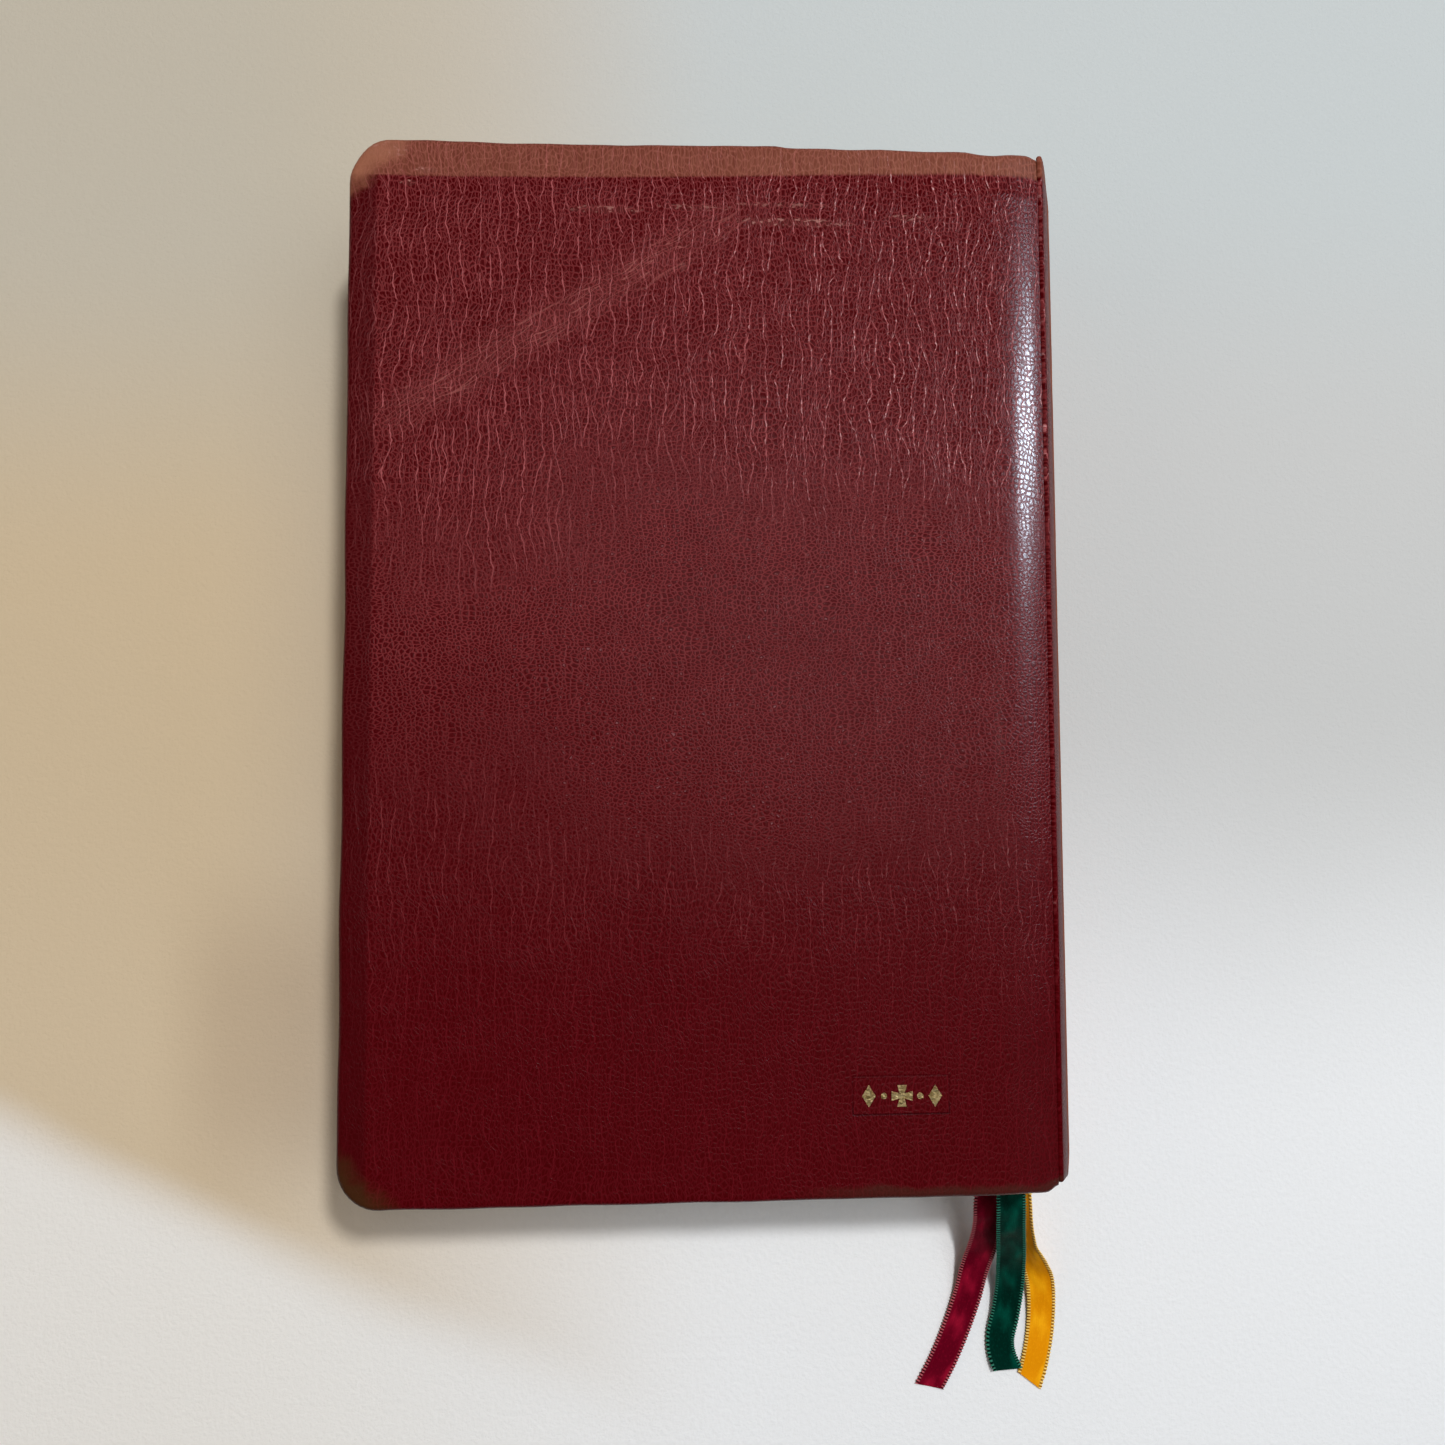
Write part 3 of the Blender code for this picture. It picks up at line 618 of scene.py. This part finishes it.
def cover_skin(name, seed):
    """A limp cover in leather, as the back cover lies: outer face up at the full thickness of the book."""
    top = THICKNESS
    low = THICKNESS - COVER_DEPTH
    skin = add_block(name, (X_FORE, -Y_HEAD, low), (X_END, Y_HEAD, top))
    window = add_block(
        name + "_window",
        (X_FORE + TURN_IN, -Y_HEAD + TURN_IN, low - 2),
        (X_END + 5, Y_HEAD - TURN_IN, low + COVER_DEPTH - RECESS_DEPTH),
    )
    start_clean()
    skin.select_set(True)
    bpy.context.view_layer.objects.active = skin
    bpy.ops.object.mode_set(mode="EDIT")
    pick("EDGE", lambda e: edge_between(e, 0, X_FORE) and abs(e.verts[0].co.z - e.verts[1].co.z) > 2 * MM)
    bpy.ops.mesh.bevel(offset=COVER_CORNER * MM, segments=10, affect="EDGES")
    pick("EDGE", lambda e: edge_between(e, 2, top) and not edge_between(e, 0, X_END))
    bpy.ops.mesh.bevel(offset=OUTER_EDGE_ROUND * MM, segments=5, affect="EDGES")
    pick("EDGE", lambda e: edge_between(e, 2, low) and not edge_between(e, 0, X_END))
    bpy.ops.mesh.bevel(offset=INNER_EDGE_ROUND * MM, segments=4, affect="EDGES")
    bpy.ops.object.mode_set(mode="OBJECT")
    cut = skin.modifiers.new("turn_in_window", "BOOLEAN")
    cut.operation, cut.object, cut.solver = "DIFFERENCE", window, "EXACT"
    bpy.ops.object.modifier_apply(modifier=cut.name)
    bpy.data.objects.remove(window)
    bpy.ops.object.mode_set(mode="EDIT")
    cut_across(steps(X_FORE, 54, GRID_STEP) + steps(54, X_END, 0.7), 0)
    cut_across(steps(-Y_HEAD, 92, GRID_STEP) + steps(92, Y_HEAD, 1.0), 1)
    bpy.ops.object.mode_set(mode="OBJECT")

    grain = []
    for vertex in skin.data.vertices:
        x, y, z = vertex.co / MM
        depth = top - z
        at_fore = smooth_step(X_FORE + 1.3, X_FORE, x)
        at_head = smooth_step(Y_HEAD - 1.3, Y_HEAD, y)
        at_tail = smooth_step(-Y_HEAD + 1.3, -Y_HEAD, y)
        grain.append(Vector((x - depth * at_fore, y + depth * (at_head - at_tail), 0)) * MM)
        outer = 1 - min(depth / COVER_DEPTH, 1)
        shoulder = max(0.0, (x - SHOULDER_START) / (X_END - SHOULDER_START))
        drop = SHOULDER_DROP * shoulder**2.3
        head_bend = max(0.0, y - (Y_HEAD - HEAD_MARGIN))
        fore_bend = max(0.0, X_FORE + FORE_MARGIN - x)
        inward = drop * outer
        sway = noise.noise(Vector((x * 0.022 + seed, y * 0.022, seed))) * 0.35
        sway += noise.noise(Vector((x * 0.07 + seed, y * 0.05, seed + 4))) * 0.09
        free = smooth_step(SHOULDER_START + 4, SHOULDER_START - 10, x)
        inward += (0.085 * head_bend + 0.07 * fore_bend) * (0.25 + 0.75 * outer)
        inward += sway * free * (0.3 + 0.7 * outer)
        # The head edge is uneven: it steps back twice on its way to the spine.
        near_head = smooth_step(Y_HEAD - 5, Y_HEAD, y)
        back = 0.45 * smooth_step(11.5, 15.5, x) + 0.35 * smooth_step(52.0, 55.0, x)
        back -= 0.35 * smooth_step(57, 62, x)
        back -= 1.0 + 1.6 * smooth_step(-50, 40, x)
        back += 0.28 * noise.noise(Vector((x * 0.13, seed, 2.0)))
        back += 0.6 * smooth_step(X_END - 3.0, X_END, x) ** 2
        near_tail = smooth_step(-Y_HEAD + 5, -Y_HEAD, y)
        lift = 1.3 * smooth_step(X_END - 3.5, X_END, x) ** 2
        lift += 0.22 * noise.noise(Vector((x * 0.09, seed, 7.0)))
        near_fore = smooth_step(X_FORE + 5, X_FORE, x)
        sag = 0.25 * noise.noise(Vector((y * 0.05, seed, 9.0)))
        vertex.co.x = (x + sag * near_fore) * MM
        vertex.co.y = (y - back * near_head + lift * near_tail) * MM
        vertex.co.z = min(z - inward, top - 0.02) * MM
    write_vectors(skin, "grain", grain)
    soften(skin, 50)
    paint(skin, LEATHER)
    return skin


def turn_over(skin):
    """Turns a back cover into a front cover: the same shape, the other way up."""
    for vertex in skin.data.vertices:
        vertex.co.z = THICKNESS * MM - vertex.co.z
    start_clean()
    skin.select_set(True)
    bpy.context.view_layer.objects.active = skin
    bpy.ops.object.mode_set(mode="EDIT")
    bpy.ops.mesh.select_all(action="SELECT")
    bpy.ops.mesh.normals_make_consistent(inside=False)
    bpy.ops.object.mode_set(mode="OBJECT")


def is_rim(edge):
    """True for the long edges where the spine leather ends beside each cover."""
    cx, cz = SPINE_CENTRE
    reach = math.radians(SPINE_REACH) - 0.004
    return all(abs(math.atan2(v.co.z / MM - cz, v.co.x / MM - cx)) > reach for v in edge.verts) and (
        abs(edge.verts[0].co.y - edge.verts[1].co.y) > 1 * MM
    )


def spine_skin():
    """The rounded spine, a band of leather turned round the back of the pages."""
    cx, cz = SPINE_CENTRE
    start = math.radians(-SPINE_REACH)
    inner = SPINE_RADIUS - SPINE_LEATHER
    skin = add_block("spine_skin", (0, -Y_HEAD, 0), (SPINE_LEATHER, Y_HEAD, 0.5))
    bpy.ops.object.mode_set(mode="EDIT")
    pick("FACE", lambda f: f.normal.z < 0.9)
    bpy.ops.mesh.delete(type="FACE")
    bpy.ops.mesh.select_all(action="SELECT")
    bpy.ops.transform.translate(value=((cx + inner) * MM, 0, (cz - 0.5) * MM))
    bpy.ops.transform.rotate(value=start, orient_axis="Y", center_override=(cx * MM, 0, cz * MM))
    bpy.ops.object.mode_set(mode="OBJECT")
    low = min(v.co.z for v in skin.data.vertices) / MM
    turned_down = low < cz - 5
    bpy.ops.object.mode_set(mode="EDIT")
    bpy.ops.mesh.select_all(action="SELECT")
    axis = (0, 1, 0) if turned_down else (0, -1, 0)
    bpy.ops.mesh.spin(
        steps=SPINE_STEPS, angle=2 * math.radians(SPINE_REACH),
        center=(cx * MM, 0, cz * MM), axis=axis, dupli=False,
    )
    bpy.ops.mesh.select_all(action="SELECT")
    bpy.ops.mesh.normals_make_consistent(inside=False)
    pick("EDGE", lambda e: edge_between(e, 1, Y_HEAD) or edge_between(e, 1, -Y_HEAD) or is_rim(e))
    bpy.ops.mesh.bevel(offset=SPINE_EDGE_ROUND * MM, segments=4, affect="EDGES")
    cut_across(steps(-Y_HEAD, Y_HEAD, 3.0), 1)
    bpy.ops.object.mode_set(mode="OBJECT")
    grain = []
    for vertex in skin.data.vertices:
        x, y, z = vertex.co / MM
        turn = math.atan2(z - cz, x - cx)
        out = math.hypot(x - cx, z - cz)
        arc = (math.radians(SPINE_REACH) - turn) * SPINE_RADIUS
        grain.append(Vector((X_END + SPINE_GAP + arc, y, 0)) * MM)
        sway = 0.12 * noise.noise(Vector((turn * 4, y * 0.03, 5.0)))
        sway += 0.05 * noise.noise(Vector((turn * 14, y * 0.12, 8.0)))
        near_end = smooth_step(Y_HEAD - 6, Y_HEAD, abs(y))
        out += min(sway, 0.0) - 0.25 * near_end * abs(math.sin(turn * 5))
        vertex.co.x = (cx + out * math.cos(turn)) * MM
        vertex.co.z = (cz + out * math.sin(turn)) * MM
        ragged = 0.3 * noise.noise(Vector((turn * 9, math.copysign(3.0, y), 1.0)))
        from_rim = min(arc, 2 * math.radians(SPINE_REACH) * SPINE_RADIUS - arc)
        drawn_in = 4.2 * smooth_step(0.0, 8.0, from_rim) - 2.4 if y > 0 else 1.9
        vertex.co.y = (y - math.copysign(near_end, y) * (drawn_in + ragged)) * MM
    write_vectors(skin, "grain", grain)
    soften(skin, 50)
    paint(skin, SPINE_LEATHER_FINISH)
    return skin


def page_bundle(number, low, high, seed):
    """One sewn bundle of leaves, hollowed at the fore-edge to match the rounding at the spine."""
    cx, cz = SPINE_CENTRE

    def spine_side(z):
        if number in BUNDLE_BODIES:
            z = max(high, 2 * cz - low) if high > cz else low
        return cx + math.sqrt(BLOCK_RADIUS**2 - (z - cz) ** 2)

    middle = (low + high) / 2
    low, high = low - PAGE_SWELL, high + PAGE_SWELL
    end = cx + math.sqrt(BLOCK_RADIUS**2 - (middle - cz) ** 2)
    start = end - PAGE_WIDTH
    made = add_block(
        f"pages_{number:02d}_leaves", (start, -PAGE_HALF_LENGTH, low), (end, PAGE_HALF_LENGTH, high)
    )
    bpy.ops.object.mode_set(mode="EDIT")
    pick("EDGE", lambda e: edge_between(e, 0, start) and abs(e.verts[0].co.z - e.verts[1].co.z) > 1 * MM)
    bpy.ops.mesh.bevel(offset=PAGE_CORNER * MM, segments=9, affect="EDGES")
    cut_across(steps(low, high, LEAF_STEP), 2)
    cut_across(steps(start, end, PAGE_STEP), 0)
    cut_across(steps(-PAGE_HALF_LENGTH, PAGE_HALF_LENGTH, PAGE_STEP), 1)
    bpy.ops.object.mode_set(mode="OBJECT")
    for vertex in made.data.vertices:
        x, y, z = vertex.co / MM
        share = (x - start) / (end - start)
        off = spine_side(z) - end
        shift = off * smooth_step(0.75, 1.0, share) + off * smooth_step(0.5, 0.0, share)
        uneven = 0.10 * noise.noise(Vector((z * 1.9 + seed, y * 0.02, x * 0.02)))
        pinched = PAGE_SWELL * smooth_step(0.6, 0.9, share) * (2 * (z - low) / (high - low) - 1)
        vertex.co.z = (z - pinched) * MM
        vertex.co.x = (x + shift + uneven * (1 - share)) * MM
        ragged = 0.08 * noise.noise(Vector((z * 2.3, seed, x * 0.02))) * (abs(y) / PAGE_HALF_LENGTH)
        vertex.co.y = (y + ragged) * MM
    soften(made, 35)
    return made


def ribbon_line(route, spacing):
    """A smooth line through the points of a route, with the roll, at even spacing."""
    points = [np.array(p, float) for p in route]
    first = 2 * points[0] - points[1]
    last = 2 * points[-1] - points[-2]
    held = [first, *points, last]
    dense = []
    for i in range(1, len(held) - 2):
        p0, p1, p2, p3 = held[i - 1 : i + 3]
        for k in range(LINE_STEPS):
            t = k / LINE_STEPS
            square = (2 * p0 - 5 * p1 + 4 * p2 - p3) * t**2
            cube = (3 * p1 - p0 - 3 * p2 + p3) * t**3
            dense.append(0.5 * (2 * p1 + (p2 - p0) * t + square + cube))
    dense.append(points[-1])
    dense = np.array(dense)
    run = np.concatenate([[0], np.cumsum(np.linalg.norm(np.diff(dense[:, :3], axis=0), axis=1))])
    count = int(run[-1] / spacing)
    at = np.linspace(0, run[-1], count + 1)
    return at, np.stack([np.interp(at, run, dense[:, k]) for k in range(4)], axis=1)


def ribbon_swell(share):
    """How thick the ribbon is at a share of its half width: thickest in the cords along its edges."""
    if abs(share) in (0.86, 0.94):
        return 1.25
    return 0.85 if abs(share) < 0.9 else 0.5


def ribbon_tail(colour, material, seed):
    """The end of a marker ribbon: a flat woven strip with a row of tiny loops down each edge."""
    spacing = PICOT_PITCH / 4
    at, line = ribbon_line(RIBBON_ROUTES[colour], spacing)
    points, weave, centres = [], [], []
    count = len(at)
    for i in range(count):
        ahead = line[min(i + 2, count - 1), :3] - line[max(i - 2, 0), :3]
        ahead = Vector(ahead).normalized()
        side = ahead.cross(Vector((0, 0, 1)))
        if side.length < 1e-6:
            side = Vector((-1, 0, 0))
        side = -side.normalized()
        if i < 3:
            side = Vector((1, 0, 0))
        side = (Matrix.Rotation(math.radians(line[i, 3]), 3, ahead) @ side).normalized()
        face = ahead.cross(side).normalized()
        if face.z < 0:
            face = -face
        centre = Vector(line[i, :3])
        centres.append(centre)
        loop = PICOT_LOOP * max(0.0, math.sin(2 * math.pi * at[i] / PICOT_PITCH))
        cup = RIBBON_CUP * noise.noise(Vector((at[i] * 0.12, seed, 0.0)))
        half = RIBBON_WIDTH / 2
        ring = []
        for layer in (1, -1):
            for share in RIBBON_SHARES if layer == 1 else reversed(RIBBON_SHARES):
                across = share * half
                if abs(share) > 0.9:
                    across += math.copysign(loop, share)
                ripple = 0.10 * noise.noise(Vector((at[i] * 0.35, share * 0.9, seed + 3)))
                bow = cup * (1 - share * share) * 2 + ripple
                thick = RIBBON_THICKNESS / 2 * ribbon_swell(share)
                slant = RIBBON_CUTS[colour] * share * smooth_step(count * 0.93, count - 1, i)
                ring.append(centre + side * across + face * (bow + layer * thick) + ahead * slant)
                weave.append(Vector((across, at[i] + slant, 0)) * MM)
        points.extend(ring)
    size = 2 * len(RIBBON_SHARES)
    faces = []
    for i in range(count - 1):
        for k in range(size):
            a, b = i * size + k, i * size + (k + 1) % size
            faces.append((a, b, b + size, a + size))
    faces.append(tuple(reversed(range(size))))
    faces.append(tuple(range((count - 1) * size, count * size)))
    mesh = bpy.data.meshes.new(f"{colour}_ribbon")
    mesh.from_pydata([p * MM for p in points], [], faces)
    made = bpy.data.objects.new(f"{colour}_ribbon", mesh)
    bpy.context.scene.collection.objects.link(made)
    write_vectors(made, "weave", weave)
    start_clean()
    made.select_set(True)
    bpy.context.view_layer.objects.active = made
    bpy.ops.object.mode_set(mode="EDIT")
    bpy.ops.mesh.select_all(action="SELECT")
    bpy.ops.mesh.normals_make_consistent(inside=False)
    bpy.ops.object.mode_set(mode="OBJECT")
    for vertex in mesh.vertices:
        vertex.co.z = max(vertex.co.z, TABLE_CLEARANCE)
    soften(made, 60)
    paint(made, material)
    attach(made, "text_block")
    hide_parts(f"ribbon_{colour}_tail")
    return made


FOIL_PROUD = 0.06
FOIL_SUNK = 0.30
ORNAMENT_MIDDLE = (35.5, -85.2)
ORNAMENT_TURN = -0.012


def foil_shape(name, outline, place, turn, height):
    """A small flat shape of foil, from an outline in millimetres, lying on the back cover."""
    top, low = height + FOIL_PROUD, height - FOIL_SUNK
    c, s = math.cos(turn), math.sin(turn)
    ring = [Vector((place[0] + c * x - s * y, place[1] + s * x + c * y, 0)) for x, y in outline]
    mesh = bmesh.new()
    lower = [mesh.verts.new((p.x * MM, p.y * MM, low * MM)) for p in ring]
    upper = [mesh.verts.new((p.x * MM, p.y * MM, top * MM)) for p in ring]
    mesh.faces.new(upper)
    mesh.faces.new(list(reversed(lower)))
    for i in range(len(ring)):
        k = (i + 1) % len(ring)
        mesh.faces.new((lower[i], lower[k], upper[k], upper[i]))
    bmesh.ops.recalc_face_normals(mesh, faces=mesh.faces)
    data = bpy.data.meshes.new(name)
    mesh.to_mesh(data)
    mesh.free()
    made = bpy.data.objects.new(name, data)
    bpy.context.scene.collection.objects.link(made)
    return made


def polygon(sides, radius, turn=0.0, squash=1.0):
    return [
        (radius * math.cos(turn + 2 * math.pi * i / sides) * squash, radius * math.sin(turn + 2 * math.pi * i / sides))
        for i in range(sides)
    ]


def cross_outline(arm, half, flare):
    quarter = [(half, half), (half + flare, arm), (-half - flare, arm)]
    points = []
    for k in range(4):
        a = k * math.pi / 2
        for x, y in quarter:
            points.append((x * math.cos(a) - y * math.sin(a), x * math.sin(a) + y * math.cos(a)))
    return points


def surface_height(obj, x, y):
    hit, place, _, _ = obj.ray_cast(Vector((x, y, 100)) * MM, Vector((0, 0, -1)))
    return place.z / MM if hit else THICKNESS


def ornament(cover, gold):
    """A row of small gold shapes near the tail of the back cover."""
    shapes = [
        (-6.6, polygon(4, 2.15, 0, 0.62)), (-3.6, polygon(20, 0.62)), (0.0, cross_outline(2.1, 0.5, 0.45)),
        (3.6, polygon(20, 0.62)), (6.6, polygon(4, 2.15, 0, 0.62)),
    ]
    made = []
    for i, (offset, outline) in enumerate(shapes):
        x = ORNAMENT_MIDDLE[0] + offset * math.cos(ORNAMENT_TURN)
        y = ORNAMENT_MIDDLE[1] + offset * math.sin(ORNAMENT_TURN)
        height = surface_height(cover, x, y)
        obj = foil_shape(f"ornament_{i + 1}", outline, (x, y), ORNAMENT_TURN, height)
        made.append(obj)
    start_clean()
    for obj in made:
        obj.select_set(True)
    bpy.context.view_layer.objects.active = made[0]
    bpy.ops.object.join()
    joined = bpy.context.object
    joined.name = "gold_ornament"
    paint(joined, gold)
    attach(joined, "back_cover")
    return joined


# The floor and the lights

start_clean()
bpy.ops.mesh.primitive_plane_add(size=6, location=(0, 0, 0))
floor = bpy.context.object
floor.name = "table_top"
paint(floor, floor_finish())

# Each light: name, place, target, size, strength and colour, with places and sizes in metres.
KEY_LIGHT = ("key", (0.70, 0.30, 0.72), (0.0, 0.0, 0.02), (0.13, 0.26), 6.0, (0.72, 0.86, 1.0))
OVERHEAD_LIGHT = ("overhead", (0.17, 0.23, 1.45), (0.0, 0.0, 0.0), (0.6, 0.10), 2.2, (1.0, 0.96, 0.95))
SOFT_LIGHTS = (
    ("soft_top", (0.25, 0.46, 1.42), (0.0, 0.0, 0.0), (0.12, 0.12), 13.5, (1.0, 0.99, 0.98)),
    ("window", (0.45, 0.10, 1.30), (0.0, 0.0, 0.0), (0.9, 0.9), 4.6, (0.95, 0.98, 1.0)),
    ("head_side", (-0.05, 1.00, 0.90), (0.0, 0.0, 0.0), (0.9, 0.5), 0.8, (1.0, 0.98, 0.95)),
    ("warm_side", (-0.60, 0.00, 0.40), (-0.15, -0.02, 0.0), (0.5, 0.5), 0.6, (1.0, 0.70, 0.50)),
    ("cool_side", (0.60, -0.50, 0.42), (0.10, -0.15, 0.0), (0.5, 0.5), 0.6, (0.88, 0.95, 1.0)),
)
WORLD_COLOUR = (0.85, 0.88, 0.92, 1)
WORLD_STRENGTH = 0.06

add_area_light(*KEY_LIGHT).visible_diffuse = False
add_area_light(*OVERHEAD_LIGHT)
for light in SOFT_LIGHTS:
    add_area_light(*light).visible_glossy = False
world = bpy.data.worlds.new("studio")
world.use_nodes = True
world.node_tree.nodes["Background"].inputs[0].default_value = WORLD_COLOUR
world.node_tree.nodes["Background"].inputs[1].default_value = WORLD_STRENGTH
bpy.context.scene.world = world

# The ribbons

# The colour, the painted sheen and the painted highlight on the edge loops of each ribbon.
RIBBON_SHADES = {
    "green": ((0.0003, 0.020, 0.013), (0.0008, 0.085, 0.055), (0.04, 0.22, 0.15)),
    "red": ((0.11, 0.0006, 0.009), (0.34, 0.006, 0.030), (0.50, 0.12, 0.14)),
    "yellow": ((0.78, 0.28, 0.002), (1.0, 0.47, 0.008), (1.0, 0.74, 0.22)),
}
SILKS = {colour: ribbon_finish(f"ribbon_{colour}", *shades) for colour, shades in RIBBON_SHADES.items()}
for number, colour in enumerate(SILKS):
    ribbon_tail(colour, SILKS[colour], 3.0 + 5 * number)
    paint(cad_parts[f"ribbon_{colour}_inner"], SILKS[colour])

# The case

back_skin = cover_skin("back_cover_skin", 3.0)
front_skin = cover_skin("front_cover_skin", 11.0)
turn_over(front_skin)
for side, skin, height in (("back", back_skin, THICKNESS - 1.6), ("front", front_skin, 1.9)):
    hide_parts(f"{side}_cover_leather")
    height * MM
    height * MM
    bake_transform(skin)
spine = spine_skin()
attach(spine, "text_block")
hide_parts("spine_leather")
ornament(back_skin, gold_finish())

# The pages and what holds them

PAGES = paper_finish("bible_paper", (0.80, 0.74, 0.62), (0.62, 0.53, 0.40), gilt=True)
for number, (low, high) in enumerate(BUNDLES, start=1):
    bundle = page_bundle(number, low, high, number * 1.7)
    paint(bundle, PAGES)
    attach(bundle, BUNDLE_BODIES.get(number, "text_block"))
    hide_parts(f"pages_{number:02d}")

LEAF = paper_finish("endpaper", (0.78, 0.72, 0.60), (0.66, 0.58, 0.45))
CARD = fibre_finish("board_card", (0.42, 0.36, 0.27), (0.28, 0.23, 0.17))
SPINE_CARD = fibre_finish("spine_card", (0.36, 0.30, 0.22), (0.24, 0.19, 0.14))
LINING = fibre_finish("lining_paper", (0.55, 0.47, 0.34), (0.40, 0.33, 0.23))
GAUZE = fibre_finish("mull_gauze", (0.74, 0.70, 0.60), (0.42, 0.38, 0.30), weave=1.2)
THREAD = fibre_finish("linen_thread", (0.80, 0.75, 0.62), (0.55, 0.49, 0.38), weave=0.6)
SILK = silk_finish("headband_silk", (0.28, 0.012, 0.014), (0.78, 0.66, 0.42), 2.4)
CAD_FINISHES = {
    "endpaper": LEAF, "board_card": CARD, "spine_card": SPINE_CARD, "lining_paper": LINING,
    "mull_gauze": GAUZE, "linen_thread": THREAD, "headband_silk": SILK,
}
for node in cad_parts.values():
    if node.hide_render:
        continue
    for slot in node.material_slots:
        wanted = slot.material.name.split(".")[0] if slot.material else ""
        if wanted in CAD_FINISHES:
            slot.material = CAD_FINISHES[wanted]
